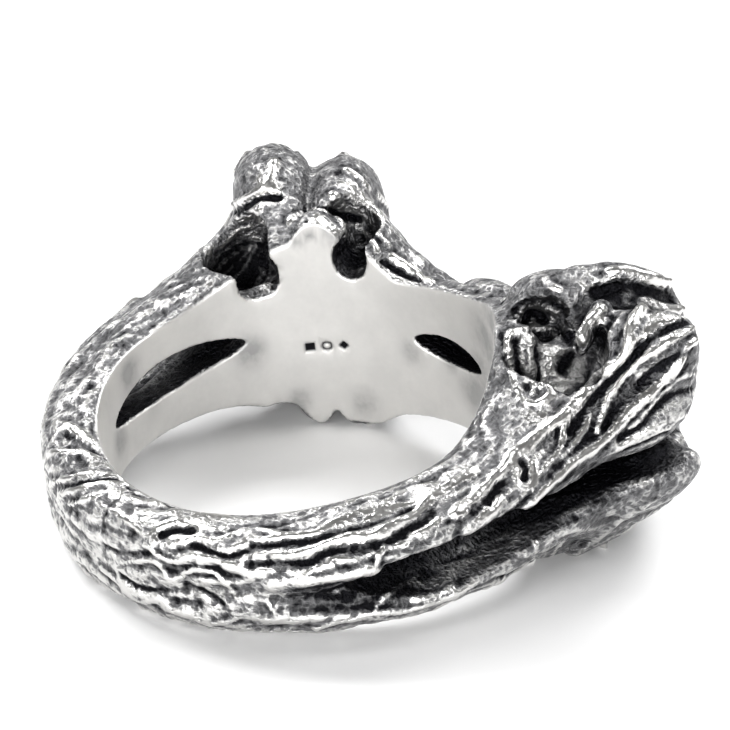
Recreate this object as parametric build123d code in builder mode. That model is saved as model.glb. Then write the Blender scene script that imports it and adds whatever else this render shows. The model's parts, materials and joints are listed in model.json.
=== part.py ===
"""Cast silver bone ring, one solid, in millimetres with +Z up.

The finger goes through the middle. The display side, where two bones cross, points along +Y. It
lies on its side and rests on its two lower knuckles and the back of its shank, which tips it a little. The
origin is on the floor, under the middle of its box.
"""
import os
from math import atan, cos, degrees, pi, radians, sin, sqrt

from build123d import *

os.makedirs("parts", exist_ok=True)

# Finger hole and the smooth wall round it
bore_radius = 9.75
wall_thickness = 1.2

# Shank, which splits into an upper and a lower strand on its way to the knuckles
shank_back_thickness = 2.75
shank_half_height = 2.7
strand_overlap = 0.75
strand_gap = 0.55

# Knuckles, where the bones end
knuckle_angle = 47.0
upper_reach = 9.6
upper_height = 6.5
lower_reach = 9.2
lower_height = 5.8
lower_lean = 0.5

# Bones that cross on the display side
bone_angle = 35.0
bone_thickness = 3.6
bone_half_height = 1.6
bone_rise = 3.7
crossing_step = 0.5

# Slots through the wall
slot_half_height = 0.85
side_slot_start = 67.0
side_slot_end = 124.0
display_slot_half_angle = 14.5

# Relief and facets
rib_depth = 0.16
strand_corners = 20
strand_twist = 30.0
lobe_corners = 12
lobe_sections = 7
wall_sections = 24
slot_sections = 9

# Upper or lower strand of the shank, from its knuckle to the middle of the back. "along" is the share of
# that way, "out" and "high" the shares of what the knuckle adds to the shank's thickness and half height,
# "gap" the share of the strands' gap, below 0 the share of their overlap, and "lean" the share by which
# the section's outer half comes in towards the middle plane.
STRAND = [
    # along, out, high, gap, lean
    (0.00, 1.00, 1.00, 1.0, 0.00),
    (0.04, 0.97, 0.97, 1.0, 0.08),
    (0.08, 0.80, 0.86, 1.0, 0.22),
    (0.12, 0.54, 0.66, 1.0, 0.30),
    (0.18, 0.35, 0.42, 1.0, 0.30),
    (0.27, 0.21, 0.20, 0.9, 0.24),
    (0.38, 0.15, 0.11, 0.6, 0.15),
    (0.50, 0.08, 0.06, 0.1, 0.08),
    (0.64, 0.03, 0.02, -0.7, 0.00),
    (0.82, 0.00, 0.00, -1.0, 0.00),
    (1.00, 0.00, 0.00, -1.0, 0.00),
]

# Rounded lobes that fill the knuckles out, above the middle plane (side 1) or below it (side -1), at an
# angle round the ring: the middle and half sizes of each one's section as shares of the knuckle's reach
# and height.
LOBE = [
    # side, angle, half_angle, out, high, half_out, half_high
    (1, 35.0, 8.0, 0.49, 0.55, 0.46, 0.57),
    (1, -40.0, 8.0, 0.46, 0.50, 0.41, 0.51),
    (-1, 36.0, 8.0, 0.48, 0.50, 0.42, 0.50),
    (-1, -37.0, 8.0, 0.48, 0.50, 0.42, 0.50),
    (1, 43.5, 11.0, 0.50, 0.38, 0.44, 0.38),
    (1, -44.0, 11.0, 0.49, 0.42, 0.43, 0.45),
    (-1, 43.5, 11.0, 0.50, 0.43, 0.43, 0.43),
    (-1, -43.5, 11.0, 0.50, 0.43, 0.43, 0.43),
    (1, -53.0, 8.0, 0.52, 0.69, 0.32, 0.45),
    (1, 30.0, 7.0, 0.28, 0.62, 0.24, 0.42),
    (1, 50.5, 5.5, 0.75, 0.83, 0.28, 0.27),
    (1, 11.0, 17.0, 0.20, 0.38, 0.12, 0.17),
]

# Hollows cut into the knuckles, given as the lobes are.
HOLLOW = [
    # side, angle, half_angle, out, high, half_out, half_high
    (1, -61.0, 11.5, 0.20, 0.55, 0.22, 0.35),
    (1, 54.5, 8.0, 0.34, 0.83, 0.27, 0.34),
    (1, -34.0, 6.5, 0.17, 0.86, 0.18, 0.37),
    (1, 39.0, 4.5, 0.23, 0.82, 0.17, 0.18),
    (1, 44.0, 2.2, 0.69, 1.08, 0.29, 0.26),
    (-1, -59.0, 9.0, 0.15, 0.97, 0.18, 0.41),
    (-1, 59.0, 9.0, 0.15, 0.97, 0.18, 0.41),
]

# Tabs cut flush with the finger hole, at the middle of each knuckle, given as the lobes are.
TAB = [
    # side, angle, half_angle, out, high, half_out, half_high
    (1, -43.0, 10.5, 0.04, 0.43, 0.21, 0.55),
    (1, 45.5, 9.5, 0.04, 0.43, 0.21, 0.49),
    (-1, -48.5, 6.5, 0.08, 0.48, 0.18, 0.48),
    (-1, 48.5, 6.5, 0.08, 0.48, 0.18, 0.48),
]

# Notches beside the far knuckle's tabs, given as the lobes are.
NOTCH = [
    # side, angle, half_angle, out, high, half_out, half_high
    (-1, -43.3, 2.8, 0.09, 1.03, 0.17, 0.18),
    (1, -33.5, 5.4, 0.08, 0.65, 0.17, 0.18),
]

# Edges of the wall round the finger hole: shares of the upper knuckle's height above the middle plane,
# and of the lower one's below it.
WALL_RIM = [
    # angle, top, bottom
    (-180, 0.32, 0.36),
    (-150, 0.40, 0.40),
    (-110, 0.46, 0.47),
    (-92, 0.45, 0.52),
    (-75, 0.41, 0.57),
    (-60, 0.38, 0.66),
    (-42, 0.46, 0.84),
    (-33, 0.49, 0.97),
    (-22, 0.49, 0.83),
    (-8, 0.53, 0.78),
    (9, 0.62, 0.74),
    (17, 0.69, 0.76),
    (27, 0.80, 0.79),
    (40, 0.86, 0.78),
    (60, 0.42, 0.66),
    (75, 0.41, 0.57),
    (92, 0.45, 0.52),
    (110, 0.46, 0.47),
    (150, 0.40, 0.40),
    (180, 0.32, 0.36),
]

# One bone of the crossing, from its middle to one end: "along" is the share of the lobe angle,
# "rise" of its height there, "thick" of its thickness and "wide" of its half height.
CROSSED_BONE = [
    # along, rise, thick, wide
    (0.00, 0.00, 1.00, 1.00),
    (0.30, 0.27, 0.94, 1.00),
    (0.60, 0.58, 0.98, 1.08),
    (0.85, 0.88, 1.22, 1.35),
    (1.05, 1.02, 1.40, 1.45),
]


def across(angle):
    """Plane that holds the finger axis, at an angle round the ring from the display side.

    Its own X runs away from the finger axis and its own Y runs up that axis."""
    turn = radians(angle)
    return Plane(origin=(0, 0, 0), x_dir=(sin(turn), cos(turn), 0), z_dir=(cos(turn), -sin(turn), 0))


def full_oval(middle, half_width, half_height, corners, rib=0.0, turn=0.0, lean=0.0):
    """Corners of an oval fuller than an ellipse, with every second corner raised as a rib.

    Its outer half leans towards the ring's middle plane by a share."""
    fullness = 0.82
    points = []
    for corner in range(corners):
        bearing = 2 * pi * (corner + turn) / corners
        raised = rib if corner % 2 else -rib
        across_share = abs(cos(bearing)) ** fullness * (1 if cos(bearing) > 0 else -1)
        up_share = abs(sin(bearing)) ** fullness * (1 if sin(bearing) > 0 else -1)
        height = middle[1] + (half_height + raised) * up_share
        points.append((middle[0] + (half_width + raised) * across_share,
                       height * (1 - lean * max(0.0, across_share))))
    return points


def section(angle, points):
    """Flat face of the given corners on the plane across the ring at an angle."""
    with BuildSketch(across(angle)) as face:
        with BuildLine():
            Polyline(*points, close=True)
        make_face()
    return face.sketch


def lofted(sections):
    """Solid through a row of sections, with straight facets between them."""
    with BuildPart() as body:
        loft([section(angle, points) for angle, points in sections], ruled=True)
    return body.part


def strand(side, reach, height, end_lean):
    """Ribbed strand of the shank between its two knuckles, round the back, above or below the middle."""
    half = []
    for along, out, high, gap, lean in STRAND:
        angle = knuckle_angle + along * (180 - knuckle_angle)
        outer = bore_radius + shank_back_thickness + out * (reach - shank_back_thickness)
        inner = bore_radius - wall_thickness / 2
        top = shank_half_height + high * (height - shank_half_height)
        bottom = gap * (strand_gap if gap > 0 else strand_overlap)
        middle = ((outer + inner) / 2, side * (top + bottom) / 2)
        twist = strand_twist * (1 - along) / 360 * strand_corners
        half.append((angle, full_oval(middle, (outer - inner) / 2, (top - bottom) / 2,
                                      strand_corners, rib_depth, twist, lean + end_lean * high)))
    other_half = [(360 - angle, points) for angle, points in reversed(half[:-1])]
    return lofted(half + other_half)


def pebble(angle, half_angle, middle, half_width, half_height, rib=0.0):
    """Rounded lobe about a point of the plane at an angle, smaller towards its two ends."""
    last_share = 0.94
    rows = []
    for row in range(lobe_sections):
        share = last_share * (2 * row / (lobe_sections - 1) - 1)
        size = sqrt(1 - share * share)
        rows.append((angle + share * half_angle,
                     full_oval(middle, half_width * size, half_height * size, lobe_corners, rib * size, 0.5)))
    return lofted(rows)


def crossed_bone(side, proud):
    """Bone from an upper knuckle to the lower knuckle on the other side of the display face."""
    inset_share = 0.1
    rows = []
    for sign, table in ((-1, reversed(CROSSED_BONE)), (1, CROSSED_BONE[1:])):
        for along, rise, thick, wide in table:
            half_width = bone_thickness * thick / 2
            reach = bore_radius + half_width * (1 - 2 * inset_share) + proud * (1 - along)
            rows.append((side * sign * along * bone_angle,
                         full_oval((reach, sign * rise * bone_rise), half_width, bone_half_height * wide,
                                   lobe_corners, rib_depth, 0.5)))
    return lofted(rows)


def rim_at(angle):
    """Top and bottom of the finger hole's wall at an angle, straight between the table's rows."""
    for (start, top, bottom), (end, next_top, next_bottom) in zip(WALL_RIM, WALL_RIM[1:]):
        if start <= angle <= end:
            share = (angle - start) / (end - start)
            return (upper_height * (top + share * (next_top - top)),
                    lower_height * (bottom + share * (next_bottom - bottom)))
    raise ValueError("angle outside the rim's table")


def wall_halves():
    """Rows of sections of the finger hole's wall, in two halves."""
    rows = []
    for step in range(wall_sections + 1):
        angle = 360 * step / wall_sections - 180
        top, bottom = rim_at(angle)
        inner, outer = bore_radius - wall_thickness / 2, bore_radius + wall_thickness
        rows.append((angle, [(inner, -bottom), (outer, -bottom + wall_thickness / 3),
                             (outer, top - wall_thickness / 3), (inner, top)]))
    middle = wall_sections // 2
    return rows[:middle + 1], rows[middle:]


def slot(start, end, outer):
    """Pointed cutter through the wall at the middle plane, a little higher outside than inside."""
    end_share, pointedness, flare = 0.12, 0.6, 1.25
    rows = []
    for step in range(slot_sections):
        share = step / (slot_sections - 1)
        half_height = slot_half_height * max(end_share, sin(pi * share)) ** pointedness
        rows.append((start + (end - start) * share,
                     [(bore_radius - wall_thickness, -half_height), (outer, -flare * half_height),
                      (outer, flare * half_height), (bore_radius - wall_thickness, half_height)]))
    return lofted(rows)


def floor_slope(corners):
    """Slope of the floor along Y that touches the ring in front of the finger and behind it."""
    slope = 0.0
    for _ in range(6):
        front = min((c for c in corners if c.Y > 0), key=lambda c: c.Z + slope * c.Y)
        back = min((c for c in corners if c.Y < 0), key=lambda c: c.Z + slope * c.Y)
        slope = (back.Z - front.Z) / (front.Y - back.Y)
    return slope


def knuckle_forms(table, rib=0.0):
    """Rounded forms of a table, sized by the reach and height of their knuckle."""
    forms = []
    for side, angle, half_angle, out, high, half_out, half_high in table:
        reach, height = (upper_reach, upper_height) if side > 0 else (lower_reach, lower_height)
        forms.append(pebble(angle, half_angle, (bore_radius + out * reach, side * high * height),
                            half_out * reach, half_high * height, rib))
    return forms


with BuildPart() as whole_ring:
    add([strand(1, upper_reach, upper_height, 0.0), strand(-1, lower_reach, lower_height, lower_lean),
         crossed_bone(1, crossing_step), crossed_bone(-1, 0.0)] + knuckle_forms(LOBE))
    add(knuckle_forms(HOLLOW), mode=Mode.SUBTRACT)
    add([lofted(wall_half) for wall_half in wall_halves()] + knuckle_forms(TAB))
    add(knuckle_forms(NOTCH)
        + [slot(side_slot_start, side_slot_end, bore_radius + upper_reach),
           slot(-side_slot_start, -side_slot_end, bore_radius + upper_reach),
           slot(-display_slot_half_angle, display_slot_half_angle, bore_radius + wall_thickness)],
        mode=Mode.SUBTRACT)
    Cylinder(bore_radius, 4 * upper_height, mode=Mode.SUBTRACT)

rest_tilt = degrees(atan(floor_slope(whole_ring.part.vertices())))
tilted_ring = whole_ring.part.rotate(Axis.X, rest_tilt)
box = tilted_ring.bounding_box()

with BuildPart() as bone_ring:
    add(tilted_ring.moved(Location((-box.center().X, -box.center().Y, -box.min.Z))))
bone_ring.part.label = "bone_ring"
export_step(bone_ring.part, "parts/bone_ring.step")
print("rest tilt", round(rest_tilt, 2), "finger axis at", round(-box.center().Y, 4), round(-box.min.Z, 4))
print("box", box.size, "volume", round(bone_ring.part.volume, 1), "solids", len(bone_ring.part.solids()))
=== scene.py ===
"""Looks of a cast silver bone ring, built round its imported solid.

The ring is one casting: strands, lobes, tabs and bones flow into each other without a seam, which
no grid laid over one form can give. So its forms are written as distances, in whole numpy arrays,
joined and cut softly, and one skin is read off where the joined distance is nought. The carving is
then a height, also worked out for all points at once, by which the skin moves along its normals.
Lengths are in millimetres in the ring's own axes: Z runs up the finger hole, +Y points to the side
on show, and an angle is counted from +Y towards +X.
"""
import json
import math

import bpy
import numpy as np
from bpy.props import FloatProperty, FloatVectorProperty, PointerProperty
from mathutils import Matrix, Vector


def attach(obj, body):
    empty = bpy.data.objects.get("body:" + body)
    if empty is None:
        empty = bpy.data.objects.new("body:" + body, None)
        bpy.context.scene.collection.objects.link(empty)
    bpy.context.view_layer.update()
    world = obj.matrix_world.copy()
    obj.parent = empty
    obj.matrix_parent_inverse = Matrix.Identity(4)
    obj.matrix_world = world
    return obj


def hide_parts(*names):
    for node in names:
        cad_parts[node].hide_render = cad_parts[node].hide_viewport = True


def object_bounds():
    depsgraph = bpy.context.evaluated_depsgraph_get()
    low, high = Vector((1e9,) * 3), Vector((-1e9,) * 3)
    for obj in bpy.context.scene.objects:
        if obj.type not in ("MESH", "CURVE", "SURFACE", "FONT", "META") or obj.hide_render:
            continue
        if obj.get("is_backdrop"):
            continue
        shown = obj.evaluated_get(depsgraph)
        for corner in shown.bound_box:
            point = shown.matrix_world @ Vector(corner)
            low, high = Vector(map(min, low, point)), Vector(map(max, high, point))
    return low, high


bl_info = {
    "name": "Bone Ring",
    "version": (1, 0, 0),
    "blender": (4, 5, 0),
    "location": "View3D > Sidebar > Bone Ring",
    "description": "Builds the skin and finish of a cast silver ring of crossed bones, and its stage",
    "category": "Add Mesh",
}

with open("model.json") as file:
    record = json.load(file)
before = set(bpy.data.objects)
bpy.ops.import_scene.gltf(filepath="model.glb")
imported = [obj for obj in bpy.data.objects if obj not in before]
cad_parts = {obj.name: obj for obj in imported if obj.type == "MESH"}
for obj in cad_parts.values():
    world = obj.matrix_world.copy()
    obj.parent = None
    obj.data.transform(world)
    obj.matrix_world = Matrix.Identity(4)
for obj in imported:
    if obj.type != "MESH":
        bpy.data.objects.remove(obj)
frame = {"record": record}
CAD_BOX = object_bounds()
MM = 0.001
BORE = next(mount for mount in frame["record"]["mounts"] if mount["name"] == "finger_bore")
BORE_RADIUS = BORE["dims"]["r_mm"]
BORE_CENTRE = np.array(BORE["pos_m"]) / MM
REST_TILT = math.atan2(-BORE["axis"][1], BORE["axis"][2])

# Sizes shared with the solid
WALL_THICKNESS = 1.2
SHANK_THICKNESS = 2.75
SHANK_HALF_HEIGHT = 2.7
STRAND_OVERLAP = 0.75
STRAND_GAP = 0.55
KNUCKLE_ANGLE = 47.0
REACH = {1: 9.6, -1: 9.2}
HEIGHT = {1: 6.5, -1: 5.8}
END_LEAN = {1: 0.0, -1: 0.5}
LOBE_HALF_ANGLE = 8.0
BONE_ANGLE = 35.0
BONE_THICKNESS = 3.6
BONE_HALF_HEIGHT = 1.6
BONE_RISE = 3.7
CROSSING_STEP = 0.5

# Strand of the shank from its knuckle to the middle of the back, in shares as in the solid
STRAND = np.array([
    # along, out, high, gap, lean
    (0.00, 1.00, 1.00, 1.0, 0.00),
    (0.04, 0.97, 0.97, 1.0, 0.08),
    (0.08, 0.80, 0.86, 1.0, 0.22),
    (0.12, 0.54, 0.66, 1.0, 0.30),
    (0.18, 0.35, 0.42, 1.0, 0.30),
    (0.27, 0.21, 0.20, 0.9, 0.24),
    (0.38, 0.15, 0.11, 0.6, 0.15),
    (0.50, 0.08, 0.06, 0.1, 0.08),
    (0.64, 0.03, 0.02, -0.7, 0.00),
    (0.82, 0.00, 0.00, -1.0, 0.00),
    (1.00, 0.00, 0.00, -1.0, 0.00),
])

# Display-side lobes: their angle, and the middle and half sizes as shares of reach and height
LOBE = [
    # side, angle, out, high, half_out, half_high
    (1, 35.0, 0.49, 0.55, 0.455, 0.57),
    (1, -40.0, 0.46, 0.50, 0.41, 0.51),
    (-1, 36.0, 0.48, 0.50, 0.42, 0.50),
    (-1, -37.0, 0.48, 0.50, 0.42, 0.50),
]

# One bone of the crossing, from its middle to one end, in shares
CROSSED_BONE = np.array([
    # along, rise, thick, wide
    (0.00, 0.00, 1.00, 1.00),
    (0.30, 0.27, 0.94, 1.00),
    (0.60, 0.58, 0.98, 1.08),
    (0.85, 0.88, 1.22, 1.35),
    (1.05, 1.02, 1.40, 1.45),
])

# Upper and lower edge of the smooth wall round the finger hole, mm from the middle plane
WALL_RIM = np.array([
    # angle, top, bottom
    (-180, 2.1, 2.1),
    (-150, 2.6, 2.3),
    (-110, 3.0, 2.7),
    (-92, 2.9, 3.0),
    (-75, 2.65, 3.3),
    (-60, 2.45, 3.85),
    (-42, 3.0, 4.9),
    (-33, 3.2, 5.6),
    (-22, 3.2, 4.8),
    (-8, 3.45, 4.5),
    (9, 4.05, 4.3),
    (17, 4.5, 4.4),
    (27, 5.2, 4.6),
    (40, 5.6, 4.5),
    (60, 2.7, 3.85),
    (75, 2.65, 3.3),
    (92, 2.9, 3.0),
    (110, 3.0, 2.7),
    (150, 2.6, 2.3),
    (180, 2.1, 2.1),
])

# Rounded masses that fill the knuckles out, above the middle plane (side 1) or below it (side -1): middle
# and half sizes in mm, and one joined more softly than the rest
MASS = [
    # side, angle, half_angle, out, half_out, high, half_high, own blend
    (1, 43.5, 11.0, 4.80, 4.20, 2.5, 2.5),
    (1, -44.0, 11.0, 4.70, 4.10, 2.7, 2.9),
    (-1, 43.5, 11.0, 4.60, 4.00, 2.5, 2.5),
    (-1, -43.5, 11.0, 4.60, 4.00, 2.5, 2.5),
    (1, -53.0, 8.0, 5.00, 3.10, 4.5, 2.9),
    (1, 30.0, 7.0, 2.70, 2.30, 4.0, 2.7),
    (1, 50.5, 5.5, 7.20, 2.70, 5.4, 1.75, 0.8),
    (1, 11.0, 17.0, 1.90, 1.20, 2.5, 1.10),
]

# Hollows cut into the knuckles, and the tabs that stand in them, flush with the finger hole
HOLLOW = [
    # side, angle, half_angle, out, half_out, high, half_high
    (1, -61.0, 11.5, 1.90, 2.10, 3.6, 2.3),
    (1, 54.5, 8.0, 3.30, 2.60, 5.4, 2.2),
    (1, -34.0, 6.5, 1.60, 1.70, 5.6, 2.4),
    (1, 39.0, 4.5, 2.20, 1.60, 5.3, 1.15),
    (1, 44.0, 2.2, 6.60, 2.80, 7.0, 1.7),
    (-1, -59.0, 9.0, 1.40, 1.70, 5.6, 2.4),
    (-1, 59.0, 9.0, 1.40, 1.70, 5.6, 2.4),
]
TAB = [
    # side, angle, half_angle, out, half_out, high, half_high
    (1, -43.0, 10.5, 0.40, 2.00, 2.8, 3.6),
    (1, 45.5, 9.5, 0.40, 2.00, 2.8, 3.2),
    (-1, -48.5, 6.5, 0.70, 1.70, 2.8, 2.8),
    (-1, 48.5, 6.5, 0.70, 1.70, 2.8, 2.8),
]

# Notches beside the far knuckle's tabs
TAB_NOTCH = [
    # side, angle, half_angle, out, half_out, high, half_high
    (-1, -43.3, 2.8, 0.80, 1.60, 6.0, 1.05),
    (1, -33.5, 5.4, 0.80, 1.60, 4.2, 1.20),
]

# Plain punch marks in the finger hole: where they are, how far apart, their half size and depth in mm,
# the half widths of the ring's line and of the ring and the diamond as shares of that size, and how far
# out from the finger hole they go
MARK_ANGLE = -43.8
MARK_HEIGHT = -0.87
MARK_STEP = 0.85
MARK_SIZE = 0.28
MARK_DEPTH = 0.09
MARK_LINE = 0.3
MARK_ROUND = 0.8
MARK_REACH = 0.2

# Small tooth beside the near tab: its two ends as angle, radius and height, and its half thickness
TOOTH = ((47.5, 15.0, 6.9), (52.5, 14.0, 5.6))
TOOTH_HALF_THICKNESS = 0.48

# Slots through the wall: start and end angle, half height and height of the middle in mm, how pointed
# they end, how much they open per mm outwards, and how far out the display side's one reaches
SIDE_SLOT = (67.0, 122.0, 0.95, 0.1)
DISPLAY_SLOT = (-16.0, 13.0, 0.7, 0.0)
SLOT_POINT = 0.6
SLOT_FLARE = 0.12
DISPLAY_SLOT_DEPTH = 1.6

# Width in mm over which each form runs softly into what it joins or cuts
BLEND = {
    "strand": 0.35, "strand_end": 0.9, "mass": 0.6, "lobe": 0.5, "outer_bone": 0.5, "inner_bone": 0.4,
    "hollow": 0.3, "wall": 0.25, "wall_edge": 0.3, "tab": 0.2, "notch": 0.1, "tooth": 0.25,
    "slot": 0.15, "slot_end": 0.2, "finger_hole": 0.16,
}

# Sections: how full an oval is (2 is an ellipse), the least that its size grows per mm, and how far a
# bone's middle stands off the finger hole, as a share of its half thickness
FULLNESS = 2.4
LEAST_GROWTH = 0.05
BONE_STAND_OFF = 0.8

# A form is worked out only within its own angle and this many degrees more, and is FAR mm off beyond
LOBE_MARGIN = 9
BONE_MARGIN = 6
FAR = 9.0

# Skin: the box it is looked for in, cells to a side of the blocks that are looked at first, how near
# the skin a block has to be (as a share of its side, and mm more), the step that its slope is measured
# over, how far a vertex is moved at most, rounds of softening after the carving, and the rim of the
# finger hole that stays as it is
SKIN_LOW = (-16.2, -13.8, -7.4)
SKIN_HIGH = (16.2, 20.6, 7.4)
BLOCK_CELLS = 4
BLOCK_SHARE = 0.95
BLOCK_SLACK = 0.25
SLOPE_STEP = 0.02
FARTHEST_MOVE = 0.4
SOFTENING_ROUNDS = 3
SHARP_RIM = 0.05

# Thinning: the weight of the finger hole's vertices, under 1 so that an edge between them also costs by
# its length, which keeps the triangles there even, and how much a length costs
SMOOTH_PART_WEIGHT = 0.5
THIN_EVENLY = 2e-4

# Sight lines through the photograph: where they start, mm before the ring's middle, how many steps they
# take, the shortest and longest one, the share of the distance that a step goes, and how near the skin
# one has to end; then how far apart two places are that aren't the same one, and in how many rounds a
# mirrored place is pulled onto the skin
WALK_START = 24.0
WALK_STEPS = 120
WALK_RANGE = (-0.3, 1.2)
WALK_SHARE = 0.8
ON_SKIN = 0.05
SAME_PLACE = 0.7
MIRROR_ROUNDS = 4

# Carved lines: how many half widths they reach to, path points worked out at a time, the least share of
# its height that a line has, what its noise adds, how much its width varies, the height that clears the
# grain round a line, and the share of it that is cleared
LINE_REACH = 2.4
LINE_RUN = 12
LEAST_LINE = 0.55
LINE_UNEVENNESS = 0.9
LINE_WEAR = 0.8
FULL_LINE = 0.12
LINE_CLEARS = 0.8

# Fibres of the strands: for each fineness its cells round a section and along the ring and its height in
# mm; then the first seed, the seeds between the strands and that of the sway, the cells of the noise that
# sways them, how far it does, how far they wave round the section, and the level that crests rise from
FIBRES = ((9, 16, 0.26), (17, 34, 0.18), (34, 60, 0.09))
FIBRE_SEED = 10
SEEDS_TO_SIDE = 5
SWAY_SEED = 3
FIBRE_SWAY_CELLS = (5, 30)
FIBRE_SWAY = 0.10
FIBRE_WAVE = 0.16
CREST_LEVEL = 0.6

# Noises of the carving: seed and size in mm
WIDE_PITS = (21, 1.3)
SMALL_PITS = (22, 0.5)
ROUGH_GRAIN = (23, 0.28)
WORMS = (24, 0.6)
LINE_HEIGHT_GRAIN = (31, 0.8)
LINE_WIDTH_GRAIN = (32, 0.6)

# Their heights in mm, those of the worms and what the back of the shank adds to them, the shares of wide
# and small pits, of the pits on a strand and off it, and of the fibres that is lost on the lobes
PIT_HEIGHT = 0.3
ROUGH_HEIGHT = 0.05
WORM_HEIGHT = 0.06
WORM_HEIGHT_AT_BACK = 0.10
PIT_SHARES = (0.65, 0.35)
PITS_ON_STRAND = 0.25
PITS_OFF_STRAND = 0.75
FIBRES_LOST = 0.85

# Fades, each from 0 to 1 between two distances in mm, or two angles round the ring
OFF_STRAND = (0.05, 0.5)
LOWER_TO_UPPER = (-0.25, 0.25)
BACK_OF_SHANK = (110, 160)
OFF_FINGER_HOLE = (0.06, 0.40)
SATIN_EDGE = (0.02, 0.12)
MARK_EDGE = (-0.06, 0.04)

# Depth and height in mm that the carving keeps within
CARVED_RANGE = (-0.5, 0.55)

# Where the strands' noise is laid out: mm out from the finger hole, and the shift between the strands
SECTION_RADIUS = 3.0
LOWER_SHIFT = 2.0

# Crown, which the finish reads as worn bright when high and black when low: its middle, what a crest of
# full height adds, how many mm round it a crest is told from, and what sharpness (softened by some
# rounds), rubbing and blackening add or take
CROWN_MIDDLE = 0.5
CREST_WEIGHT = 1.8
CREST_HEIGHT = 0.3
CREST_REACH = 0.6
SHARPNESS_WEIGHT = 0.3
SHARPNESS_ROUNDS = 2
RUBBED_WEIGHT = 0.6
BLACKENED_WEIGHT = 0.8

# Noise of the finish: cells to a metre, detail, roughness, and the span of it drawn out to 0 to 1. The
# threads along the strands have cells to a mm round them and along them instead. Worms are told from
# their middle value
WORM_NOISE = (2300.0, 1.0, 0.6, 0.30, 0.70)
SPECK_NOISE = (6400.0, 2.0, 0.7, 0.34, 0.66)
BROAD_NOISE = (500.0, 3.0, 0.6, 0.30, 0.70)
STAIN_NOISE = (110.0, 5.0, 0.65, 0.34, 0.62)
MOTTLE_NOISE = (480.0, 4.0, 0.7, 0.35, 0.65)
THREAD_NOISE = (4.5, 0.9, 3.0, 0.65, 0.30, 0.70)
WORM_MIDDLE = 0.4

# How much each of them, and the rub that grows between two distances along the shank, shifts the edge of
# the blackening, and how much each raises the bump, whose height is in mm
EDGE_SHARES = {"worm": 0.34, "speck": 0.10, "thread": 0.22, "broad": 0.30, "back_rub": 0.22}
BACK_RUB = (16.0, 36.0)
BUMP_SHARES = {"worm": 0.9, "speck": 0.3, "thread": 0.7, "broad": 0.5}
BUMP_HEIGHT = 0.12

# Where bright metal sets in, and grey patina: between which shares of the tarnish blend, and between
# which of an open place's room
BRIGHT_SPANS = ((0.45, 1.0), (0.0, 0.7))
PATINA_SPANS = ((-0.25, 0.6), (-0.1, 0.6))

# Brightness of the crests and of the finger hole, what stains, mottling and darkened places do to it, and
# how dark a darkened place is at least; the darkened places are partly tarnish and partly painted shade
CREST_BRIGHTNESS = 0.88
SATIN_BRIGHTNESS = 0.78
STAIN_SHARE = 0.12
MOTTLE_SHARE = 0.10
DULL_AND_SHADE_SHARE = 0.62
LEAST_DULL_AND_SHADE = 0.5

# Roughness of blackened metal, how much less it is on bright metal, and how much more in the finger hole
BLACK_ROUGHNESS = 0.50
BRIGHT_SMOOTHER = 0.25
SATIN_ROUGHER = 0.20

# Distances in mm at which the room in front of each place is measured, least of all in a deep hollow
HOLLOW_REACHES = (0.5, 1.0, 2.0)

# How the photograph was taken: its size and the ring's place in it in pixels, pixels to a mm at the
# ring's middle, the camera's distance in mm, and its height and turn from +Y in degrees
PHOTO_SIZE = 730
PHOTO_SCALE = 20.72
BORE_IN_PHOTO = (305.2, 442.0)
PHOTO_DISTANCE = 260.0
PHOTO_ELEVATION = 28.0
PHOTO_AZIMUTH = 50.0

# Pixels between the points of a carved line
PATH_STEP = 3.0

# Stage, in metres: nearest and farthest that the camera sees, and how far the floor goes each way
CAMERA_CLIP = (0.01, 10.0)
FLOOR_REACH = 3.0
FLOOR_ROUGHNESS = 0.5

# Soft lamps round the ring: height and turn in degrees, the turn counted from the camera towards its
# right, and each one's share of the lamp power
LAMPS = (
    # name, height, turn, share
    ("front_lamp", 18.0, 0.0, 0.95),
    ("front_left_lamp", 18.0, -45.0, 0.71),
    ("right_lamp", 48.0, 90.0, 0.44),
    ("back_right_lamp", 48.0, 135.0, 0.87),
    ("back_left_lamp", 48.0, -135.0, 1.12),
)

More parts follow.
